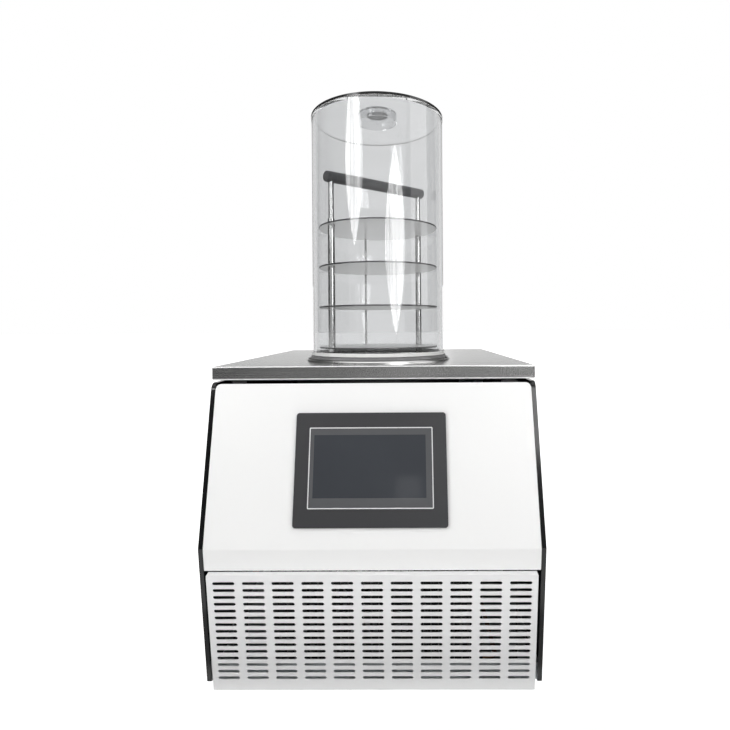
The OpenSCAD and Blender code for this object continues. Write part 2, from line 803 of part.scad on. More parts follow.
// Perforated plate over the trap's mouth, which the rack stands on.
module rack_base() {
    color("silver") difference() {
        on_axis() translate([0, 0, rack_floor])
            cylinder(d = rack_base_d, h = rack_base_t, $fn = 128);
        for (ring = [1:3], i = [0:6 * ring - 1])
            on_axis() rotate([0, 0, 360 * i / (6 * ring)])
                translate([ring * 22, 0, rack_floor - 1]) cylinder(d = 12, h = 10, $fn = 32);
        on_axis() translate([0, 0, rack_floor - 1]) cylinder(d = 12, h = 10, $fn = 32);
    }
}

// A main rod, from the base plate up into the handle.
module main_rod(side) {
    color("silver") at_rod(side) translate([0, 0, rod_foot])
        cylinder(d = rod_d, h = handle_mid - handle_d / 4 - rod_foot);
}

module rack_rod_left() {
    main_rod(-1);
}

module rack_rod_right() {
    main_rod(1);
}

// The slim rod ends just above the top shelf.
module rack_rod_slim() {
    color("silver") at_slim() translate([0, 0, rod_foot])
        cylinder(d = slim_d, h = top_shelf + 4 - rod_foot, $fn = 32);
}

// The spacer sleeves on one main rod: one under each shelf, and a collar on the top shelf.
module sleeves(side) {
    color("silver") at_rod(side) {
        for (i = [1:shelf_count]) {
            low = i == 1 ? rod_foot : shelf_mid(i - 1) + shelf_t / 2;
            sleeve(low, shelf_mid(i) - shelf_t / 2);
        }
        sleeve(top_shelf + shelf_t / 2, top_shelf + shelf_t / 2 + 7);
    }
}

module sleeve(z0, z1) {
    translate([0, 0, z0]) rotate_extrude($fn = 48)
        translate([(rod_d + slip) / 2, 0]) square([(sleeve_d - rod_d - slip) / 2, z1 - z0]);
}

module sleeves_left() {
    sleeves(-1);
}

module sleeves_right() {
    sleeves(1);
}

// A flat round shelf with an eased rim and holes for the rods.
module shelf(i) {
    r = shelf_d / 2;
    z = shelf_mid(i) - shelf_t / 2;
    color("lightgray") difference() {
        on_axis() rotate_extrude($fn = 128)
            polygon([[0, z], [r - 0.5, z], [r, z + 0.5], [r, z + shelf_t - 0.5],
                     [r - 0.5, z + shelf_t], [0, z + shelf_t]]);
        for (side = [-1, 1])
            at_rod(side) translate([0, 0, z - 1]) cylinder(d = rod_d + slip, h = shelf_t + 2);
        at_slim() translate([0, 0, z - 1]) cylinder(d = slim_d + slip, h = shelf_t + 2, $fn = 32);
    }
}

module shelf_1() {
    shelf(1);
}

module shelf_2() {
    shelf(2);
}

module shelf_3() {
    shelf(3);
}

module shelf_4() {
    shelf(4);
}

// Round handle bar with domed ends, drilled from below for the rods.
module handle_bar() {
    r = handle_d / 2;
    dome = r * 0.45;
    end = handle_l / 2;
    color([0.25, 0.25, 0.27]) difference() {
        on_axis() translate([0, 0, handle_mid]) rotate([0, 90, rack_turn])
            rotate_extrude($fn = 64)
                polygon([[0, -end], each arc_corner([0, -end], [r, -end], [r, 0], dome, 6),
                         each arc_corner([r, 0], [r, end], [0, end], dome, 6), [0, end]]);
        for (side = [-1, 1])
            at_rod(side) translate([0, 0, handle_mid - handle_d])
                cylinder(d = rod_d + slip, h = handle_d * 0.75 + 0.5);
    }
}

// ---- Cold trap ----

trap_seam = trap_floor + trap_corner + 1;   // where the wall is welded to the bottom

// Rolled stainless wall of the trap, with a flat flange on the deck and a hole for its pipe.
module cold_trap() {
    color("silver") difference() {
        on_axis() rotate_extrude($fn = 128)
            polygon([[trap_r, trap_seam], [trap_out_r, trap_seam], [trap_out_r, deck_h],
                     [flange_r, deck_h], [flange_r, deck_h + flange_t],
                     [trap_r, deck_h + flange_t]]);
        placed() translate([port_x, chamber_y, port_z]) rotate([-90, 0, 0])
            cylinder(d = vacuum_pipe_d + slip, h = foam_r);
    }
}

// Pressed stainless bottom, welded to the trap's wall, with the drain's hole.
module trap_bottom() {
    low = trap_floor - trap_wall;
    hole = drain_d / 2 - 1.5;
    outer = rounded([[hole, low], [trap_out_r, low], [trap_out_r, trap_seam]],
                    [0, trap_corner + trap_wall, 0], 8);
    inner = rounded([[trap_r, trap_seam], [trap_r, trap_floor], [hole, trap_floor]],
                    [0, trap_corner, 0], 8);
    color("silver") on_axis() rotate_extrude($fn = 128) polygon(concat(outer, inner));
}

coil_exit = foam_r - 6;

// Copper evaporator tube wound round the trap, with both ends led out to the back.
module evaporator_coil() {
    count = floor((coil_turns + 0.5) * coil_steps);
    helix = [for (i = [0:count])
        let (a = -360 * i / coil_steps)
        [coil_r * cos(a), coil_r * sin(a), coil_low + coil_rise * i / count]];
    route = concat([[coil_r, coil_exit, coil_low], [coil_r, coil_d, coil_low]], helix,
                   [[-coil_r, coil_d, coil_top], [-coil_r, coil_exit, coil_top]]);
    color([0.72, 0.45, 0.2]) on_axis() sweep_round(route, coil_d / 2);
}

// Foam jacket round the coil and the trap's wall.
module trap_foam() {
    hole = coil_d / 2 + 1;
    top = frame_top - angle_t - 1;
    color("beige") on_axis() difference() {
        rotate_extrude($fn = 96)
            polygon([[trap_out_r + fit, trap_seam], [foam_r, trap_seam], [foam_r, top],
                     [foam_in_r, top], [foam_in_r, coil_low - 12],
                     [trap_out_r + fit, coil_low - 12]]);
        translate([coil_r, coil_d, coil_low]) rotate([-90, 0, 0]) cylinder(r = hole, h = foam_r);
        translate([-coil_r, coil_d, coil_top]) rotate([-90, 0, 0]) cylinder(r = hole, h = foam_r);
        translate([port_x, 0, port_z]) rotate([-90, 0, 0])
            cylinder(d = vacuum_pipe_d + 2, h = foam_r + 5);
    }
}

// Foam cup under the trap, with the drain pipe's hole.
module foam_base() {
    hole = drain_d / 2 + 1;
    color("beige") on_axis() rotate_extrude($fn = 96)
        polygon(concat([[hole, foam_low], [foam_r, foam_low], [foam_r, trap_seam]],
                rounded([[trap_out_r + fit, trap_seam], [trap_out_r + fit, trap_floor - trap_wall],
                         [hole, trap_floor - trap_wall]], [0, trap_corner + trap_wall, 0], 8)));
}

// ---- Cooling unit ----

compressor_x = -95;
compressor_y = body_d - 118;
mount_h = 10;
shell_low = pan_floor + mount_h;
shell_r = compressor_d / 2;
suction_z = shell_low + compressor_h * 0.72;
discharge_z = shell_low + compressor_h * 0.45;
stub_out = 8;

// Sealed compressor: a welded shell with a seam, a foot plate, two stubs and a relay box.
module compressor() {
    r = shell_r;
    h = compressor_h;
    color([0.1, 0.1, 0.1]) placed() translate([compressor_x, compressor_y, shell_low]) union() {
        rotate_extrude($fn = 96)
            polygon(concat([[0, 0]],
                    rounded([[r - 6, 0], [r - 2, h * 0.6], [r + 2, h * 0.6],
                             [r + 2, h * 0.6 + 4], [r - 2, h * 0.6 + 4], [r - 4, h], [0, h]],
                            [24, 0, 0, 0, 0, 38, 0], 8)));
        linear_extrude(3) polygon(plate_outline(compressor_d + 24, compressor_d - 10, 12));
        translate([0, -r + 10, suction_z - shell_low]) rotate([90, 0, 0])
            cylinder(d = line_d + 3, h = 10 + stub_out, $fn = 32);
        translate([-r + 10, 0, discharge_z - shell_low]) rotate([0, -90, 0])
            cylinder(d = line_d + 3, h = 10 + stub_out, $fn = 32);
        translate([r - 14, -28, 50]) cube([34, 56, 62]);
    }
}

// Four rubber bushes between the compressor's foot plate and the base pan.
module compressor_mounts() {
    color([0.08, 0.08, 0.08]) placed()
        for (x = [-1, 1], y = [-1, 1])
            translate([compressor_x + x * (compressor_d / 2 - 2),
                       compressor_y + y * (compressor_d / 2 - 17), pan_floor])
                cylinder(d = 20, h = mount_h, $fn = 48);
}

condenser_y = -12;
condenser_z = pan_floor;
tube_rows = 6;
function tube_z(i) = condenser_z + condenser_h * (i + 0.5) / tube_rows;
fin_t = 0.8;
tube_y = condenser_y + condenser_d / 2;

// Condenser: a bank of fins on six straight tubes, between two end plates.
module condenser() {
    pitch = (condenser_w - fin_t) / (fin_count - 1);
    color("silver") placed() union() {
        for (i = [0:fin_count - 1]) {
            t = i == 0 || i == fin_count - 1 ? fin_t + 0.7 : fin_t;
            translate([-condenser_w / 2 + i * pitch, condenser_y, condenser_z])
                cube([t, condenser_d, condenser_h]);
        }
        for (i = [0:tube_rows - 1])
            translate([-condenser_w / 2 - 8, tube_y, tube_z(i)]) rotate([0, 90, 0])
                cylinder(d = line_d + 2, h = condenser_w + 16, $fn = 32);
    }
}

fan_z = condenser_z + condenser_h / 2;
shroud_y = condenser_y + condenser_d;
shroud_depth = 26;
fan_ring_r = fan_d / 2 + fan_gap;
shroud_t = 1.2;

// Fan shroud: a sheet on the condenser's back with a round duct and three motor arms.
module fan_shroud() {
    color("dimgray") placed() translate([0, shroud_y, 0]) union() {
        difference() {
            translate([-condenser_w / 2, 0, condenser_z])
                cube([condenser_w, shroud_t, condenser_h]);
            translate([0, -1, fan_z]) rotate([-90, 0, 0]) cylinder(r = fan_ring_r, h = 5, $fn = 96);
        }
        translate([0, 0, fan_z]) rotate([-90, 0, 0]) difference() {
            cylinder(r = fan_ring_r + shroud_t, h = shroud_depth, $fn = 96);
            translate([0, 0, -1]) cylinder(r = fan_ring_r, h = shroud_depth + 2, $fn = 96);
        }
        for (i = [0:2])
            translate([0, shroud_depth, fan_z]) rotate([0, 120 * i + 30, 0])
                translate([motor_r + 1, -3, -4]) cube([fan_ring_r - motor_r, 3, 8]);
        translate([0, shroud_depth, fan_z]) rotate([90, 0, 0]) difference() {
            cylinder(r = motor_r + 2, h = 3, $fn = 64);
            translate([0, 0, -1]) cylinder(r = motor_r, h = 5, $fn = 64);
        }
    }
}

motor_r = 24;
motor_l = 38;
shaft_r = 3;

// Fan motor: a can held in the shroud's ring, with the shaft towards the condenser.
module fan_motor() {
    color("gray") placed() translate([0, shroud_y + shroud_depth - 3, fan_z])
        rotate([-90, 0, 0]) union() {
            cylinder(r = motor_r - slip / 2, h = motor_l, $fn = 64);
            translate([0, 0, -15]) cylinder(r = shaft_r, h = 16, $fn = 48);
        }
}

blade_depth = 14;

// Fan: a hub with twisted blades, bored to run on the motor's shaft.
module fan_blades() {
    hub_r = 17;
    tip = fan_d / 2;
    color([0.1, 0.1, 0.1]) placed() translate([0, shroud_y + 4, fan_z]) rotate([-90, 0, 0])
        difference() {
            union() {
                cylinder(r = hub_r, h = blade_depth, $fn = 64);
                intersection() {
                    for (i = [0:blade_count - 1])
                        rotate([0, 0, 360 * i / blade_count])
                            translate([hub_r - 2, 0, blade_depth / 2]) rotate([32, 0, 0])
                                translate([0, -20, -0.8]) cube([tip - hub_r + 4, 40, 1.6]);
                    cylinder(r = tip, h = blade_depth, $fn = 96);
                }
            }
            translate([0, 0, 3]) cylinder(r = shaft_r + 0.05, h = blade_depth, $fn = 48);
        }
}

drier_x = 172;
drier_y = chamber_y + 92;
drier_z = 96;
drier_l = 84;

// Filter drier: a copper can with necked ends.
module filter_drier() {
    neck = line_d / 2 + 1.5;
    color([0.72, 0.45, 0.2]) placed() translate([drier_x, drier_y, drier_z])
        rotate_extrude($fn = 48)
            polygon([[0, 0], [neck, 0], [neck, 10], [14, 20], [14, drier_l - 20],
                     [neck, drier_l - 10], [neck, drier_l], [0, drier_l]]);
}

line_bend = 12;
line_x = condenser_w / 2 + 27;
rear_run = chamber_y + foam_r + 16;

// Hot gas line, from the compressor along the left side to the condenser's top tube.
module discharge_line() {
    z1 = tube_z(tube_rows - 1);
    x0 = compressor_x - shell_r - stub_out;
    x1 = -frame_x + angle_w / 2 + 2;
    route = bent([[x0, compressor_y, discharge_z], [x1 - 4, compressor_y, discharge_z],
                  [x1 - 4, 70, discharge_z], [-line_x, 48, z1], [-line_x, tube_y, z1],
                  [-condenser_w / 2 - 8, tube_y, z1]], 6);
    color([0.72, 0.45, 0.2]) placed() sweep_round(route, line_d / 2);
}

// Liquid line, from the condenser's bottom tube to the drier.
module liquid_line() {
    z0 = tube_z(0);
    route = bent([[condenser_w / 2 + 8, tube_y, z0], [line_x, tube_y, z0],
                  [line_x, drier_y - 40, z0], [drier_x, drier_y, z0 + 14],
                  [drier_x, drier_y, drier_z]], 8);
    color([0.72, 0.45, 0.2]) placed() sweep_round(route, line_d / 2);
}

// Expansion line, from the drier up to the evaporator's lower end.
module capillary_line() {
    route = bent([[drier_x, drier_y, drier_z + drier_l], [drier_x, drier_y, coil_low - 30],
                  [drier_x, rear_run, coil_low], [coil_r, rear_run, coil_low],
                  [coil_r, chamber_y + coil_exit, coil_low]], 8);
    color([0.72, 0.45, 0.2]) placed() sweep_round(route, line_d / 2 - 1);
}

// Suction line, from the evaporator's upper end down to the compressor.
module suction_line() {
    y1 = compressor_y - shell_r - stub_out;
    x1 = compressor_x;
    route = bent([[-coil_r, chamber_y + coil_exit, coil_top], [-coil_r, y1 - 16, coil_top],
                  [x1, y1 - 16, coil_top - 40], [x1, y1 - 16, suction_z],
                  [x1, y1, suction_z]], 8);
    color([0.72, 0.45, 0.2]) placed() sweep_round(route, line_d / 2);
}

// ---- Vacuum and drain ----

pipe_start = chamber_y + sqrt(pow(trap_r, 2) - pow(vacuum_pipe_d / 2, 2)) - 2;
flange_len = 8;

recess_r = 13.1;   // recess that takes the hose's centring ring
recess_t = 3;

// Vacuum pipe from the trap's wall to the clamp flange behind the rear panel.
module vacuum_pipe() {
    end = body_d + port_reach;
    r = vacuum_pipe_d / 2;
    fr = port_flange_d / 2;
    color("silver") placed() translate([port_x, 0, port_z]) rotate([-90, 0, 0])
        rotate_extrude($fn = 96)
            polygon([[r - vacuum_pipe_wall, pipe_start], [r, pipe_start],
                     [r, end - flange_len], [fr, end - 3], [fr, end],
                     [recess_r, end], [recess_r, end - recess_t],
                     [r - vacuum_pipe_wall, end - recess_t]]);
}

// Drain pipe, falling from the trap's bottom to the rear panel.
module drain_pipe() {
    z0 = trap_floor - trap_wall;
    route = bent([[0, chamber_y, z0], [0, chamber_y, z0 - 44],
                  [drain_x, chamber_y + 170, drain_z + 20], [drain_x, body_d - 60, drain_z],
                  [drain_x, body_d, drain_z]], 18);
    color("white") placed() sweep_round(route, drain_d / 2 - 1, 12);
}

valve_r = 9;
valve_l = 24;
spigot_l = 14;
spigot_r = 5;

// Drain valve: a brass body on the rear panel, with a hose spigot and a bored stem seat.
module drain_valve() {
    color([0.75, 0.6, 0.3]) placed() translate([drain_x, body_d, drain_z]) difference() {
        rotate([-90, 0, 0]) union() {
            cylinder(r = valve_r, h = valve_l, $fn = 6);
            translate([0, 0, valve_l]) cylinder(r = spigot_r, h = spigot_l, $fn = 48);
            translate([0, 0, valve_l / 2]) rotate([90, 0, 0]) cylinder(r = 6, h = stem_seat);
        }
        translate([0, valve_l / 2, valve_r - 3]) cylinder(r = stem_r + 0.05, h = 20, $fn = 48);
        translate([0, valve_l - 4, 0]) rotate([-90, 0, 0]) cylinder(r = spigot_r - 1.5, h = 30, $fn = 32);
    }
}

stem_r = 2.5;
stem_seat = 13;

// Drain lever: a stem with a flat handle, along X when the valve is closed.
module drain_lever() {
    top = drain_z + stem_seat;
    color("firebrick") placed() translate([drain_x, body_d + valve_l / 2, top]) union() {
        translate([0, 0, -5]) cylinder(r = stem_r, h = 9, $fn = 48);
        translate([0, 0, 0.6]) cylinder(r = 6, h = 3.4, $fn = 48);
        translate([0, -4, 1.4]) cube([lever_l - 4, 8, 2]);
        translate([lever_l - 4, 0, 1.4]) cylinder(r = 4, h = 2, $fn = 48);
    }
}

// ---- Electrics ----

tray_x = frame_x - angle_t;
tray_y0 = rear_run + 12;
tray_y1 = frame_back - angle_w - 4;
tray_z0 = 236;
tray_h = 160;

// Sheet tray on the frame's right side that carries the electronics.
module electronics_tray() {
    color("dimgray") placed() union() {
        translate([tray_x - sheet_t, tray_y0, tray_z0])
            cube([sheet_t, tray_y1 - tray_y0, tray_h]);
        for (z = [tray_z0, tray_z0 + tray_h - sheet_t])
            translate([tray_x - 12, tray_y0, z]) cube([12, tray_y1 - tray_y0, sheet_t]);
        translate([tray_x - sheet_t, tray_y1 - eps, tray_z0 + 40])
            cube([sheet_t, frame_back - angle_t - tray_y1 + eps, 80]);
    }
}

board_y0 = tray_y0 + 6;
board_w = 76;
board_z0 = tray_z0 + 12;
board_h = 130;
standoff = 8;

// Control board with its relays and terminal blocks, on four standoffs.
module control_board() {
    x = tray_x - sheet_t;
    color("darkgreen") placed() union() {
        translate([x - standoff - 1.6, board_y0, board_z0]) cube([1.6, board_w, board_h]);
        for (y = [6, board_w - 6], z = [6, board_h - 6])
            translate([x - standoff, board_y0 + y, board_z0 + z]) rotate([0, 90, 0])
                cylinder(d = 6, h = standoff, $fn = 32);
        for (i = [0:3])
            translate([x - standoff - 17, board_y0 + 8, board_z0 + 12 + 28 * i])
                cube([15.5, 20, 20]);
        translate([x - standoff - 13, board_y0 + board_w - 16, board_z0 + 10])
            cube([11.5, 10, board_h - 20]);
    }
}

// Power supply in a folded metal case.
module power_supply() {
    d = tray_y1 - board_y0 - board_w - 8;
    color("silver") placed()
        translate([tray_x - sheet_t - 40, board_y0 + board_w + 5, board_z0])
            cube([40, d, board_h]);
}

// Mains inlet: a flange on the rear panel, a body behind it, and three pins in its well.
module mains_inlet() {
    color([0.08, 0.08, 0.08]) placed() translate([inlet_x, body_d, inlet_z]) union() {
        difference() {
            union() {
                translate([0, 2.5, 0]) forward(2.5) polygon(plate_outline(48, 28, 4));
                translate([0, 0, 0]) forward(26)
                    polygon(plate_outline(inlet_w - 2 * fit, inlet_h - 2 * fit, 2));
            }
            translate([0, 4, 0]) forward(20) polygon(plate_outline(24.4, 16.4, 4));
        }
        for (p = [[-7, -1.5], [0, 2.5], [7, -1.5]])
            translate([p[0] - 1, -17, p[1] - 2]) cube([2, 13, 4]);
    }
}

// Outlet for the vacuum pump, with three slots in its face.
module pump_outlet() {
    color([0.08, 0.08, 0.08]) placed() translate([outlet_x, body_d, inlet_z]) difference() {
        union() {
            translate([0, 2.5, 0]) forward(2.5) polygon(plate_outline(50, 30, 4));
            forward(24) polygon(plate_outline(outlet_w - 2 * fit, outlet_h - 2 * fit, 2));
        }
        translate([0, 4, 0]) forward(16) difference() {
            polygon(plate_outline(28, 20, 4));
            polygon(plate_outline(24, 16, 3));
        }
        for (p = [[-7, -2], [0, 2.5], [7, -2]])
            translate([p[0] - 1.2, -12, p[1] - 2.2]) cube([2.4, 20, 4.4]);
    }
}

rocker_r = 9;

// Body of the power switch, with the well that the rocker turns in.
module power_switch() {
    color([0.08, 0.08, 0.08]) placed() translate([inlet_x, body_d, switch_z]) difference() {
        union() {
            translate([0, 2, 0]) forward(2) polygon(plate_outline(25, 31, 2));
            forward(22) polygon(plate_outline(switch_w - 2 * fit, switch_h - 2 * fit, 1));
        }
        translate([0, 4, 0]) forward(16) polygon(plate_outline(16, 22.4, 0.5));
        translate([-9.5, -1, 0]) rotate([0, 90, 0]) cylinder(r = 1.5 + 0.05, h = 19, $fn = 32);
    }
}

// Rocker on a cross pin, tipped to the off side.
module power_rocker() {
    color([0.7, 0.1, 0.08]) placed() translate([inlet_x, body_d - 1, switch_z])
        rotate([rocker_angle / 2, 0, 0]) union() {
            intersection() {
                translate([-7.6, 0, 0]) rotate([90, 0, 90]) linear_extrude(15.2)
                    polygon(rounded([[-6, -7], [3, -rocker_r], [5, -rocker_r], [3.2, 0],
                                     [5, rocker_r], [3, rocker_r], [-6, 7]],
                                    [1, 0, 0.8, 12, 0.8, 0, 1], 6));
                translate([-10, -12, -12]) cube([20, 24, 24]);
            }
            translate([-9.3, 0, 0]) rotate([0, 90, 0]) cylinder(r = 1.5, h = 18.6, $fn = 32);
        }
}

base_pan();
feet();
frame();
side_panel_left();
side_panel_right();
rear_panel();
rear_screws();
front_cover();
grille_panel();
deck_plate();
display_bezel();
display_glass();
display_screen();
display_housing();
display_clips();
base_ring();
chamber_gasket();
foot_band();
chamber_tube();
chamber_lid();
lid_rim();
lid_plug();
rack_base();
rack_rod_left();
rack_rod_right();
rack_rod_slim();
sleeves_left();
sleeves_right();
shelf_1();
shelf_2();
shelf_3();
shelf_4();
handle_bar();
cold_trap();
trap_bottom();
evaporator_coil();
trap_foam();
foam_base();
compressor();
compressor_mounts();
condenser();
fan_shroud();
fan_motor();
fan_blades();
filter_drier();
discharge_line();
liquid_line();
capillary_line();
suction_line();
vacuum_pipe();
drain_pipe();
drain_valve();
drain_lever();
electronics_tray();
control_board();
power_supply();
mains_inlet();
pump_outlet();
power_switch();
power_rocker();
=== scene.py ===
from math import atan2, cos, pi, radians, sin, sqrt

import bmesh
import bpy
from mathutils import Matrix, Vector


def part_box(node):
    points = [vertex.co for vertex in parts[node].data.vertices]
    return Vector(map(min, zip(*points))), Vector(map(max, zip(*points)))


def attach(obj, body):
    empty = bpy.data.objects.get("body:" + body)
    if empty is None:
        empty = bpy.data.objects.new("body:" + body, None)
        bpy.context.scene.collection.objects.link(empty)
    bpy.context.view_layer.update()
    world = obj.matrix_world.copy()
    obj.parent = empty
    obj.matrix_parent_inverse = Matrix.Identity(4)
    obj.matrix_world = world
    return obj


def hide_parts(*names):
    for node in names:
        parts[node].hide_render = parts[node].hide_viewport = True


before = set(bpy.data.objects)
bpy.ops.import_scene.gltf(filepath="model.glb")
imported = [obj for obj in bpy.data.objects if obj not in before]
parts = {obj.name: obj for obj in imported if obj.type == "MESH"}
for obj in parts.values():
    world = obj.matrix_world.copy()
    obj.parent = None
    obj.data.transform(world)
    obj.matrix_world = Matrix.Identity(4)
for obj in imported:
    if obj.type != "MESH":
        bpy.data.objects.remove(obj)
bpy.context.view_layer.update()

# ---- Base pan and feet ----
# The machine stands on four moulded rubber feet, screwed up into a folded pan of
# zinc-coated sheet. The zinc shows broad, soft crystals; the rubber is dull and a little dusty.


def feed(tree, socket, value):
    """Gives an input its value: a number, or the output of another node."""
    if isinstance(value, bpy.types.NodeSocket):
        tree.links.new(value, socket)
    else:
        socket.default_value = value


def ranged(tree, value, low, high, start=0.0, end=1.0):
    """Spreads a value that runs from start to end over the range from low to high."""
    node = tree.nodes.new("ShaderNodeMapRange")
    for socket, given in (("Value", value), ("From Min", start), ("From Max", end),
                          ("To Min", low), ("To Max", high)):
        feed(tree, node.inputs[socket], given)
    return node.outputs["Result"]


def stretched(tree, scale):
    """The place on the object, stretched, which lays a pattern's grain."""
    place = tree.nodes.new("ShaderNodeTexCoord")
    stretch = tree.nodes.new("ShaderNodeMapping")
    stretch.inputs["Scale"].default_value = scale
    tree.links.new(place.outputs["Object"], stretch.inputs["Vector"])
    return stretch.outputs["Vector"]


def finish(name, colour, roughness, metallic=0.0, grain=(40, 40, 40), shade=0.1, spread=0.08,
           relief=0.0, depth=0.0002, cells=False):
    """A surface with a grain: it shifts the colour and the roughness, and lifts the surface."""
    material = bpy.data.materials.new(name)
    material.use_nodes = True
    tree = material.node_tree
    nodes, links = tree.nodes, tree.links
    surface = nodes["Principled BSDF"]
    surface.inputs["Metallic"].default_value = metallic
    if cells:
        pattern = nodes.new("ShaderNodeTexVoronoi")
        pattern.inputs["Scale"].default_value = 1.0
        value = pattern.outputs["Color"]
    else:
        pattern = nodes.new("ShaderNodeTexNoise")
        pattern.inputs["Scale"].default_value = 1.0
        pattern.inputs["Detail"].default_value = 5.0
        value = pattern.outputs["Fac"]
    links.new(stretched(tree, grain), pattern.inputs["Vector"])
    tint = nodes.new("ShaderNodeVectorMath")
    tint.operation = "SCALE"
    tint.inputs[0].default_value = colour
    links.new(ranged(tree, value, 1.0 - shade, 1.0 + shade), tint.inputs["Scale"])
    links.new(tint.outputs["Vector"], surface.inputs["Base Color"])
    gloss = ranged(tree, value, roughness - spread, roughness + spread)
    links.new(gloss, surface.inputs["Roughness"])
    if relief:
        bump = nodes.new("ShaderNodeBump")
        bump.inputs["Strength"].default_value = relief
        bump.inputs["Distance"].default_value = depth
        links.new(pattern.outputs["Distance" if cells else "Fac"], bump.inputs["Height"])
        links.new(bump.outputs["Normal"], surface.inputs["Normal"])
    return material


def coat(material, *names):
    """Gives these pieces of the machine that finish."""
    for name in names:
        part = parts[name]
        if not part.material_slots:
            part.data.materials.append(material)
        for place in part.material_slots:
            place.material = material


zinc = finish("zinc_coated_sheet", (0.50, 0.52, 0.54), 0.42, metallic=1.0, grain=(60, 60, 60),
              shade=0.16, spread=0.10, cells=True)
foot_rubber = finish("foot_rubber", (0.030, 0.030, 0.031), 0.75, grain=(260, 260, 260),
                     shade=0.35, relief=0.25)
coat(zinc, "base_pan")
coat(foot_rubber, "feet", "compressor_mounts")

# ---- Frame ----
# Four uprights and a top ring of angle steel, welded and dipped in dull black paint;
# tabs on the uprights hold the front cover and the slotted panel.
frame_paint = finish("frame_paint", (0.014, 0.014, 0.015), 0.60, grain=(90, 90, 90),
                     shade=0.3, relief=0.15)
coat(frame_paint, "frame")

# ---- Cooling unit ----
# A hermetic compressor in black enamel on rubber mounts, a finned condenser with its
# fan, a drier, and copper lines that are brazed from piece to piece.
enamel = finish("black_enamel", (0.012, 0.012, 0.013), 0.30, grain=(120, 120, 120),
                shade=0.3, relief=0.12)
copper = finish("dull_copper", (0.30, 0.16, 0.10), 0.42, metallic=1.0, grain=(45, 45, 45),
                shade=0.22, spread=0.12)
fins = finish("black_coated_fins", (0.016, 0.016, 0.017), 0.45, grain=(700, 4, 4), shade=0.30,
              relief=0.6, depth=0.0006)
blade_plastic = finish("fan_blade_plastic", (0.022, 0.022, 0.024), 0.42, grain=(150, 150, 150),
                       shade=0.25, relief=0.05)
coat(enamel, "compressor", "fan_motor", "fan_shroud")
coat(copper, "filter_drier", "discharge_line", "liquid_line", "capillary_line", "suction_line",
     "evaporator_coil")
coat(fins, "condenser")
coat(blade_plastic, "fan_blades")

# ---- Cold trap ----
# A stainless pot, rolled and welded to its pressed bottom, bright inside; the copper coil
# is wound on it, and black closed-cell foam is wrapped round both. A pipe leads to the
# rear vacuum port, and a hose drains the melted ice.
bright = finish("bright_stainless", (0.62, 0.62, 0.61), 0.18, metallic=1.0,
                grain=(18, 18, 260), shade=0.08, spread=0.05, relief=0.04)
foam = finish("closed_cell_foam", (0.035, 0.035, 0.036), 0.90, grain=(420, 420, 420),
              shade=0.4, relief=0.5, cells=True)
coat(bright, "cold_trap", "trap_bottom", "vacuum_pipe")
coat(foam, "trap_foam", "foam_base")
drain_hose = finish("drain_hose", (0.62, 0.62, 0.56), 0.35, grain=(20, 20, 200), shade=0.08)
coat(drain_hose, "drain_pipe")

# ---- Electronics ----
# A folded tray of zinc-coated sheet, screwed inside the right panel, carries the
# controller's green board and a caged power supply.
board = finish("controller_board", (0.020, 0.115, 0.055), 0.35, grain=(160, 160, 160),
               shade=0.35, relief=0.2, cells=True)
coat(zinc, "electronics_tray", "power_supply")
coat(board, "control_board")

# ---- Side and rear panels ----
# Folded steel sheet: the sides in a smooth black coat, the rear in charcoal powder coat
# with a fine leather texture, fixed with plated screws along its edges.


def soften(width, *names, angle=30):
    """Breaks the sharp edges of sheet and moulded pieces, as a folded or moulded edge is."""
    for name in names:
        part = parts[name]
        weld = part.modifiers.new("weld", "WELD")
        weld.merge_threshold = 0.00001
        edge = part.modifiers.new("edge", "BEVEL")
        edge.width = width
        edge.segments = 2
        edge.limit_method = "ANGLE"
        edge.angle_limit = radians(angle)
        edge.use_clamp_overlap = True
        shade = part.modifiers.new("shade", "WEIGHTED_NORMAL")
        shade.keep_sharp = True


charcoal = finish("charcoal_powder_coat", (0.013, 0.013, 0.014), 0.42, grain=(650, 650, 650),
                  shade=0.18, spread=0.08, relief=0.30, depth=0.00020)
charcoal.node_tree.nodes["Principled BSDF"].inputs["Specular IOR Level"].default_value = 0.3
coat(charcoal, "rear_panel")
side_coat = finish("black_side_coat", (0.005, 0.005, 0.0054), 0.13, grain=(420, 420, 420),
                   shade=0.20, spread=0.03, relief=0.05, depth=0.00008)
coat(side_coat, "side_panel_left", "side_panel_right")
soften(0.0008, "side_panel_left", "side_panel_right")
coat(bright, "rear_screws")

# ---- Front cover ----
# One folded steel sheet in smooth white powder coat, turned in all round, with a
# cut-out for the display.
white_coat = finish("white_powder_coat", (0.86, 0.86, 0.855), 0.36, grain=(900, 900, 900),
                    shade=0.010, spread=0.05, relief=0.06, depth=0.0001)
coat(white_coat, "front_cover")
soften(0.0008, "front_cover")

# ---- Slotted panel ----
# The air inlet of the condenser: punched sheet with folded edges, in the same white
# powder coat, held on the frame's tabs.
grille_coat = finish("white_punched_sheet", (0.86, 0.86, 0.86), 0.40, grain=(900, 900, 900),
                     shade=0.015, spread=0.05, relief=0.06, depth=0.0001)
coat(grille_coat, "grille_panel")

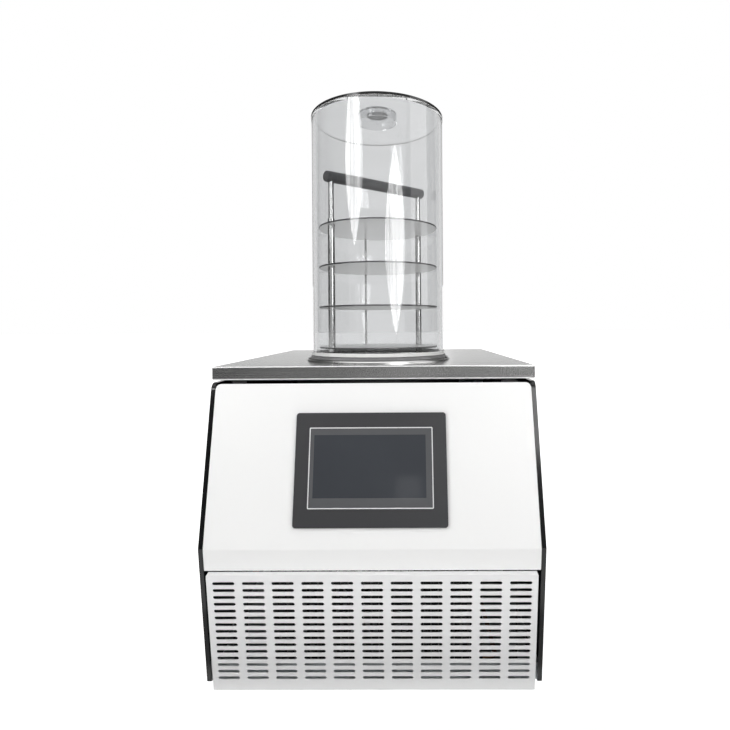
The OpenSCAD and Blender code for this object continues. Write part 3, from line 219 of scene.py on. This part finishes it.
# ---- Display ----
# A moulded bezel, clipped into the slanted cover's window, with a touch glass printed on
# its back: a grey band, a thin white line, and a clear window over the dark screen.
bezel_plastic = finish("bezel_plastic", (0.034, 0.034, 0.037), 0.42, grain=(800, 800, 800),
                       shade=0.12, spread=0.05, relief=0.15, depth=0.00008)
coat(bezel_plastic, "display_bezel", "display_housing")
coat(bright, "display_clips")
print_grey = finish("printed_grey", (0.095, 0.097, 0.102), 0.10, grain=(60, 60, 60), shade=0.03,
                    spread=0.02)
print_white = finish("printed_line", (0.74, 0.74, 0.74), 0.12, grain=(60, 60, 60), shade=0.02,
                     spread=0.02)
dark_screen = finish("dark_screen", (0.046, 0.050, 0.058), 0.07, grain=(7, 7, 9), shade=0.20,
                     spread=0.02)
coat(dark_screen, "display_screen")
soften(0.0022, "display_bezel")


def shown(name, bm, *finishes):
    """Puts a mesh in the scene with its finishes."""
    mesh = bpy.data.meshes.new(name)
    bm.to_mesh(mesh)
    bm.free()
    for material in finishes:
        mesh.materials.append(material)
    thing = bpy.data.objects.new(name, mesh)
    bpy.context.scene.collection.objects.link(thing)
    return thing


def piece(name, bm, body, slot, *finishes, smooth=30):
    """Makes a piece of the machine from its mesh and lets it move with that body."""
    bmesh.ops.recalc_face_normals(bm, faces=bm.faces)
    thing = shown(name, bm, *finishes)
    thing.data.shade_smooth()
    thing.data.set_sharp_from_angle(angle=radians(smooth))
    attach(thing, body)
    return thing


cover_run, cover_rise = 52, 215
lean = atan2(cover_run, cover_rise)
glass_width, glass_height, glass_thick = 0.170, 0.1075, 0.0018
glass_corner = 0.0019
border, line_width, rim_width = 0.0003, 0.0013, 0.002
window_left, window_right, window_low, window_high = -0.0780, 0.0750, -0.0397, 0.0433
flush = 1e-6
bm = bmesh.new()
bmesh.ops.create_cube(bm, size=1.0)
bmesh.ops.scale(bm, vec=(glass_width, glass_thick, glass_height), verts=bm.verts)
corners = [e for e in bm.edges if abs(e.verts[0].co.y - e.verts[1].co.y) > glass_thick / 2]
bmesh.ops.bevel(bm, geom=corners, offset=glass_corner, offset_type="OFFSET", affect="EDGES",
                segments=5, profile=0.5, material=-1)
bm.faces.ensure_lookup_table()
front = min(bm.faces, key=lambda f: f.calc_center_median().y)
bmesh.ops.inset_region(bm, faces=[front], thickness=border, depth=0)
line = bmesh.ops.inset_region(bm, faces=[front], thickness=line_width, depth=0)["faces"]
for face in line:
    face.material_index = 1
face_y = front.calc_center_median().y
inside_line = glass_width / 2 - rim_width
for at, normal in (((window_left, 0, 0), (1, 0, 0)), ((window_right, 0, 0), (1, 0, 0)),
                   ((0, 0, window_low), (0, 0, 1)), ((0, 0, window_high), (0, 0, 1))):
    flat = [f for f in bm.faces if abs(f.calc_center_median().y - face_y) < flush
            and f.material_index == 0 and len(f.verts) > 3
            and abs(f.calc_center_median().x) < inside_line]
    around = {e for f in flat for e in f.edges} | {v for f in flat for v in f.verts}
    bmesh.ops.bisect_plane(bm, geom=flat + list(around), plane_co=at, plane_no=normal)
for face in bm.faces:
    middle = face.calc_center_median()
    if abs(middle.y - face_y) < flush and window_left < middle.x < window_right \
            and window_low < middle.z < window_high:
        face.material_index = 2
low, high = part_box("display_glass")
bmesh.ops.rotate(bm, cent=(0, 0, 0), matrix=Matrix.Rotation(-lean, 3, "X"), verts=bm.verts)
bmesh.ops.translate(bm, vec=(Vector(low) + Vector(high)) / 2, verts=bm.verts)
touch_glass = piece("touch_glass", bm, "cabinet", "display_glass", print_grey, print_white,
                    dark_screen, smooth=1)
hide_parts("display_glass")

# ---- Deck ----
# A folded plate of stainless steel, brushed from side to side and laid on the frame's
# top ring. Thin pale bands of painted highlight run along its folds.


def reckon(tree, operation, *values):
    """The outcome of one sum, whose values are numbers or the outputs of other nodes."""
    node = tree.nodes.new("ShaderNodeMath")
    node.operation = operation
    for socket, value in zip(node.inputs, values):
        feed(tree, socket, value)
    return node.outputs["Value"]


def along(tree, kind, way):
    """One coordinate: the place on the object, or the direction in the surround."""
    place = tree.nodes.new("ShaderNodeTexCoord")
    split = tree.nodes.new("ShaderNodeSeparateXYZ")
    tree.links.new(place.outputs[kind], split.inputs["Vector"])
    return split.outputs[way]


def edge_band(material, low, high, colour, roughness):
    """Changes the colour and roughness of a material between two heights: a band along an edge,
    used here for painted highlights and painted shade.
    """
    tree = material.node_tree
    nodes, links = tree.nodes, tree.links
    surface = nodes["Principled BSDF"]
    inside = reckon(tree, "COMPARE", along(tree, "Object", "Z"), (low + high) / 2,
                    (high - low) / 2)
    for socket, value, kind in (("Base Color", (*colour, 1), "RGBA"),
                                ("Roughness", roughness, "FLOAT")):
        mix = nodes.new("ShaderNodeMix")
        mix.data_type = kind
        name = {"RGBA": "_Color", "FLOAT": "_Float"}[kind]
        first = next(i for i in mix.inputs if i.identifier == "A" + name)
        second = next(i for i in mix.inputs if i.identifier == "B" + name)
        result = next(o for o in mix.outputs if o.identifier == "Result" + name)
        links.new(surface.inputs[socket].links[0].from_socket, first)
        second.default_value = value
        links.new(inside, mix.inputs["Factor"])
        links.new(result, surface.inputs[socket])


brushed = finish("brushed_deck", (0.56, 0.56, 0.555), 0.22, metallic=1.0, grain=(6, 700, 700),
                 shade=0.10, spread=0.08, relief=0.10, depth=0.00006)
deck_low, deck_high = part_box("deck_plate")[0][2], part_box("deck_plate")[1][2]
hair = 0.0001
lower_fold, upper_fold = 0.0019, 0.0014
# The pale bands along the deck's lower and upper folds are painted highlight.
painted_highlight = (0.88, 0.88, 0.88)
edge_band(brushed, deck_low - hair, deck_low + lower_fold, painted_highlight, 0.60)
edge_band(brushed, deck_high - upper_fold, deck_high - hair, painted_highlight, 0.50)
coat(brushed, "deck_plate")
soften(0.0007, "deck_plate")

# ---- Chamber foot ----
# A satin steel ring on the deck, a glossy grey silicone seal with painted shade along its
# top and bottom edges, and a white moulded band that the chamber stands in. The black
# rubber is for the lid's edge trim.
seal_black = finish("seal_rubber", (0.018, 0.018, 0.018), 0.16, grain=(300, 300, 300),
                    shade=0.25, relief=0.1)
band_white = finish("band_plastic", (0.80, 0.80, 0.79), 0.40, grain=(200, 200, 200), shade=0.02,
                    relief=0.05)
satin = finish("satin_stainless", (0.70, 0.70, 0.695), 0.28, metallic=1.0, grain=(30, 30, 30),
               shade=0.04, spread=0.04)
coat(satin, "base_ring")
seal_grey = finish("silicone_seal", (0.17, 0.17, 0.172), 0.16, grain=(300, 300, 300),
                   shade=0.10, spread=0.05, relief=0.05)
seal_low, seal_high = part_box("chamber_gasket")[0][2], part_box("foot_band")[0][2]
# Thin dark bands at the seal's lower and upper edges are painted shade, where it meets the ring
# and the band.
seal_edge = 0.0012
seal_edge_shade = (0.05, 0.05, 0.05)
edge_band(seal_grey, seal_low - hair, seal_low + seal_edge, seal_edge_shade, 0.35)
edge_band(seal_grey, seal_high + hair - seal_edge, seal_high + hair, seal_edge_shade, 0.35)
coat(seal_grey, "chamber_gasket")
coat(band_white, "foot_band")

# ---- Sample rack ----
# Brushed stainless shelves, their rims painted darker as shade, held apart by sleeves on two
# ground rods and a slim third one, with a rubber-covered handle across the top.
shelf_steel = finish("shelf_steel", (0.80, 0.80, 0.795), 0.34, metallic=1.0, grain=(10, 400, 400),
                     shade=0.10, spread=0.06, relief=0.06, depth=0.00005)
handle_grip = finish("handle_grip", (0.095, 0.095, 0.098), 0.42, grain=(220, 220, 220),
                     shade=0.25, relief=0.12)
plates = ("rack_base", "shelf_1", "shelf_2", "shelf_3", "shelf_4")
skin_depth = 0.00003
# The shelves' rims are painted a darker grey as shade.
rim_shade = (0.20, 0.20, 0.20)
for name in plates:
    edge_band(shelf_steel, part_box(name)[0][2] + skin_depth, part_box(name)[1][2] - skin_depth,
              rim_shade, 0.45)
coat(shelf_steel, *plates)
rod_steel = finish("ground_rod_steel", (0.50, 0.50, 0.495), 0.14, metallic=1.0,
                   grain=(40, 40, 400), shade=0.08, spread=0.05)
coat(rod_steel, "rack_rod_left", "rack_rod_right", "rack_rod_slim", "sleeves_left",
     "sleeves_right")
coat(handle_grip, "handle_bar")

# ---- Chamber ----
# A cast acrylic tube with a lid cemented on, which carries a hollow boss; both are
# polished all over. A rubber trim covers the joint, and a soft plug rests in the boss.
acrylic = finish("clear_acrylic", (0.815, 0.82, 0.825), 0.012, grain=(12, 12, 12), shade=0.004,
                 spread=0.008)
clear = acrylic.node_tree.nodes["Principled BSDF"]
clear.inputs["IOR"].default_value = 1.49
clear.inputs["Transmission Weight"].default_value = 1.0


def turned(profile, axis, steps=128):
    """A closed section, given as (radius, height), turned once round an upright axis."""
    bm = bmesh.new()
    ring = [bm.verts.new((axis[0] + r, axis[1], z)) for r, z in profile]
    edges = [bm.edges.new((a, b)) for a, b in zip(ring, ring[1:] + ring[:1])]
    bmesh.ops.spin(bm, geom=ring + edges, cent=(axis[0], axis[1], 0), axis=(0, 0, 1),
                   angle=2 * pi, steps=steps, use_merge=True)
    return bm


low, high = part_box("chamber_tube")
axis = ((low[0] + high[0]) / 2, (low[1] + high[1]) / 2)
outer = (high[0] - low[0]) / 2
wall, boss_wall = 0.0055, 0.0012
inner = outer - wall
foot, top = low[2], high[2]
lid_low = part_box("chamber_lid")[0][2]
boss_top, boss_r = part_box("chamber_lid")[1][2], 0.033
boss_in = boss_r - boss_wall
plug_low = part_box("lid_plug")[0][2]
plug_r = (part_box("lid_plug")[1][0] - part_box("lid_plug")[0][0]) / 2
plug_play, seat_width, seat_thick = 0.0002, 0.001, 0.0004
hole = plug_r + plug_play
port, seat_low = plug_r - seat_width, plug_low - seat_thick
vent = 0.0008
soft = 0.0006
bm = turned([(inner, foot), (outer - soft, foot), (outer, foot + soft), (outer, top - soft),
             (outer - soft, top), (boss_r, top), (boss_r, boss_top - 2 * soft),
             (boss_r - 2 * soft, boss_top), (hole, boss_top), (hole, plug_low),
             (port, plug_low), (port, seat_low), (boss_in, seat_low), (boss_in, top),
             (vent, top), (vent, lid_low), (inner, lid_low)], axis)
chamber = piece("chamber", bm, "cabinet", "clear_acrylic", acrylic)
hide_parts("chamber_tube", "chamber_lid")

# The trim is black over its top and its upper edge, and pale below and inside; the pale band
# below the black is a painted highlight, standing for the bright line of light along the lid's
# edge.
low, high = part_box("lid_rim")
skin = outer + skin_depth
trim_r = (high[0] - low[0]) / 2
black_height, lap = 0.0043, 0.003
fold = high[2] - black_height
trim_in = outer - lap
bm = turned([(skin, low[2]), (trim_r, low[2]), (trim_r, fold), (trim_r, high[2] - soft / 2),
             (trim_r - soft / 2, high[2]), (trim_in, high[2]), (trim_in, top + hair),
             (skin, top + hair)], axis)
for face in bm.faces:
    middle = face.calc_center_median()
    away = sqrt((middle.x - axis[0]) ** 2 + (middle.y - axis[1]) ** 2)
    outside = away > trim_r - soft and middle.z > fold
    face.material_index = 0 if outside or middle.z > high[2] - hair else 1
rim = piece("edge_trim", bm, "cabinet", "seal_rubber", seal_black, band_white)
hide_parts("lid_rim")
plug_rubber = finish("plug_rubber", (0.26, 0.26, 0.26), 0.50, grain=(260, 260, 260), shade=0.15)
coat(plug_rubber, "lid_plug")

# ---- Rear fittings ----
# A brass drain valve with a red lever, the mains inlet, the outlet for the pump and the
# rocker switch, all moulded in black.
brass = finish("brass", (0.62, 0.44, 0.18), 0.28, metallic=1.0, grain=(90, 90, 90), shade=0.12)
lever_red = finish("lever_vinyl", (0.42, 0.018, 0.014), 0.32, grain=(180, 180, 180), shade=0.10,
                   relief=0.05)
socket_black = finish("socket_plastic", (0.020, 0.020, 0.021), 0.40, grain=(500, 500, 500),
                      shade=0.2, relief=0.1)
coat(brass, "drain_valve")
coat(lever_red, "drain_lever")
coat(socket_black, "mains_inlet", "pump_outlet", "power_switch", "power_rocker")

# ---- Studio ----
# A pale floor and a white surround, two tapered soft boxes in front and a soft top lamp.
# Grey cards and flags stand round the machine, where only its polished pieces see them.
floor_size, floor_colour = 40.0, (0.90, 0.90, 0.90, 1)
floor_glow, floor_through, floor_mirrored = 0.88, 0.66, 0.30
white, black = (1, 1, 1, 1), (0, 0, 0, 1)
bm = bmesh.new()
bmesh.ops.create_grid(bm, x_segments=1, y_segments=1, size=floor_size)
floor_paint = bpy.data.materials.new("floor_paint")
floor = shown("floor", bm, floor_paint)
floor_paint.use_nodes = True
tree = floor_paint.node_tree
surface = tree.nodes["Principled BSDF"]
surface.inputs["Base Color"].default_value = floor_colour
surface.inputs["Roughness"].default_value = 0.9
surface.inputs["Emission Color"].default_value = white
ray = tree.nodes.new("ShaderNodeLightPath").outputs
seen = reckon(tree, "MULTIPLY_ADD", ray["Is Transmission Ray"], floor_through,
              ray["Is Camera Ray"])
glow = reckon(tree, "MULTIPLY", seen, floor_glow)
mirrored = reckon(tree, "MULTIPLY", ray["Is Glossy Ray"], floor_mirrored)
feed(tree, surface.inputs["Emission Strength"], reckon(tree, "MAXIMUM", glow, mirrored))

# Polished pieces inside the clear chamber see the two sides of the room as dim.
world = bpy.context.scene.world or bpy.data.worlds.new("studio")
bpy.context.scene.world = world
world.use_nodes = True
tree = world.node_tree
sky = tree.nodes["Background"]
sky.inputs["Color"].default_value = white
light_level, seen_level, side_level, side_from = 0.46, 1.0, 0.14, 0.76
ray = tree.nodes.new("ShaderNodeLightPath").outputs
seen = reckon(tree, "MAXIMUM", ray["Is Camera Ray"], ray["Is Transmission Ray"])
seen = reckon(tree, "MAXIMUM", seen, ray["Is Glossy Ray"])
level = ranged(tree, seen, light_level, seen_level)
mirrored = reckon(tree, "GREATER_THAN", ray["Glossy Depth"], 0.5)
inside = reckon(tree, "MULTIPLY", ray["Is Transmission Ray"], mirrored)
aside = reckon(tree, "ABSOLUTE", along(tree, "Generated", "X"))
aside = reckon(tree, "GREATER_THAN", aside, side_from)
dim = ranged(tree, reckon(tree, "MULTIPLY", inside, aside), 1.0, side_level)
feed(tree, sky.inputs["Strength"], reckon(tree, "MULTIPLY", level, dim))

top_light = bpy.data.lights.new("top_lamp", "AREA")
top_light.energy = 4
top_light.shape = "RECTANGLE"
top_light.size = top_light.size_y = 1.8
top_lamp = bpy.data.objects.new("top_lamp", top_light)
bpy.context.scene.collection.objects.link(top_lamp)
lamp_at, lamp_towards = Vector((0.0, -0.5, 2.4)), Vector((0.0, 0.0, 0.4))
top_lamp.location = lamp_at
top_lamp.rotation_euler = (lamp_towards - lamp_at).to_track_quat("-Z", "Y").to_euler()


def stood(bm, size, tilt, turn, at):
    """Sizes a flat mesh, tilts it up, turns it about the upright axis and moves it."""
    bmesh.ops.scale(bm, vec=(*size, 1), verts=bm.verts)
    for angle, way in ((tilt, "X"), (turn, "Z")):
        bmesh.ops.rotate(bm, cent=(0, 0, 0), matrix=Matrix.Rotation(angle, 3, way),
                         verts=bm.verts)
    bmesh.ops.translate(bm, vec=at, verts=bm.verts)


def lit(name):
    """A paint that only gives light, with its strength still to be set."""
    paint = bpy.data.materials.new(name)
    paint.use_nodes = True
    surface = paint.node_tree.nodes["Principled BSDF"]
    surface.inputs["Base Color"].default_value = black
    surface.inputs["Specular IOR Level"].default_value = 0
    surface.inputs["Emission Color"].default_value = white
    return paint, paint.node_tree, surface.inputs["Emission Strength"]


def soft_box(name, azimuth, distance, middle, half_width, half_height, shine, light):
    """A leaf-shaped lit panel that faces the chamber; its mirror image is the bright strip."""
    bm = bmesh.new()
    bmesh.ops.create_circle(bm, cap_ends=True, segments=48, radius=1.0)
    for v in bm.verts:
        v.co.x *= abs(v.co.x)
    turn = radians(azimuth)
    at = (axis[0] + distance * sin(turn), axis[1] - distance * cos(turn), middle)
    stood(bm, (half_width, half_height), pi / 2, turn, at)
    paint, tree, strength = lit(name)
    folds = tree.nodes.new("ShaderNodeTexNoise")
    folds.inputs["Scale"].default_value = 1.0
    feed(tree, folds.inputs["Vector"], stretched(tree, (14, 14, 2.2)))
    cloth = ranged(tree, folds.outputs["Fac"], 0.25 * shine, 0.8 * shine, 0.35, 0.65)
    ray = tree.nodes.new("ShaderNodeLightPath").outputs
    feed(tree, strength, ranged(tree, ray["Is Glossy Ray"], light, cloth))
    panel = shown(name, bm, paint)
    panel.visible_camera = False


soft_box("left_soft_box", -35.7, 1.61, 1.264, 0.43, 0.405, 13.0, 9.6)
soft_box("right_soft_box", 31.7, 1.61, 0.887, 0.49, 0.425, 13.0, 4.9)


def card(name, size, at, turn, left, right, tilt=pi / 2, corner=0):
    """A grey card that only polished surfaces see; it may be darker at its left end."""
    bm = bmesh.new()
    bmesh.ops.create_grid(bm, x_segments=1, y_segments=1, size=0.5)
    bmesh.ops.scale(bm, vec=(*size, 1), verts=bm.verts)
    if corner:
        bmesh.ops.bevel(bm, geom=bm.verts[:], offset=corner, affect="VERTICES", segments=4,
                        profile=0.5, material=-1)
    stood(bm, (1, 1), tilt, turn, at)
    paint, tree, strength = lit(name)
    feed(tree, strength, ranged(tree, along(tree, "Object", "X"), left, right, -0.9, -0.1))
    panel = shown(name, bm, paint)
    panel.visible_camera = False
    panel.visible_diffuse = False
    panel.visible_transmission = False
    panel.visible_shadow = False
    return panel


low_flag = card("low_flag", (0.62, 0.10), (0, -0.360, 0.002), 0, 0, 0, 0)
low_flag.visible_diffuse = True
low_flag.visible_glossy = False
card("front_card", (6.0, 2.6), (0, -1.9, 1.3), 0, 0.07, 0.235)
card("near_card", (0.077, 0.070), (0.050, -1.2, 0.439), 0, 0.78, 0.78, corner=0.012)
card("left_card", (3.0, 2.6), (-2.2, -0.9, 1.3), pi / 2, 0.06, 0.06)
card("right_card", (3.0, 0.6), (2.2, -0.9, 0.3), pi / 2, 0.10, 0.10)
card("right_window", (1.45, 2.0), (2.2, -0.63, 1.6), pi / 2, 2.0, 2.0)
for side, way in (("left", -1), ("right", 1)):
    card(side + "_wing", (2.9, 2.9), (1.6 * way, 1.45, 1.15), pi / 2, 0.04, 0.04)
    card(side + "_flag", (1.35, 1.1), (0.95 * way, 1.7, 1.27), 0, 0.20, 0.20)

# ---- Camera ----
# It stands a little right of the middle, a hand above the deck, and looks level. Many
# bounces are needed, because light runs a long way inside the acrylic before it leaves.
lens = bpy.data.cameras.new("camera")
lens.sensor_width = 36.0
lens.lens = 25.323
lens.shift_x = -0.0512
lens.shift_y = -0.0536
camera = bpy.data.objects.new("camera", lens)
bpy.context.scene.collection.objects.link(camera)
camera.location = (0.04815, -0.98188, 0.50054)
camera.rotation_euler = (pi / 2 + 0.00124, 0.00719, 0.00832)
scene = bpy.context.scene
scene.camera = camera
scene.view_settings.view_transform = "Standard"
scene.cycles.max_bounces = 32
scene.cycles.glossy_bounces = 24
scene.cycles.transmission_bounces = 32
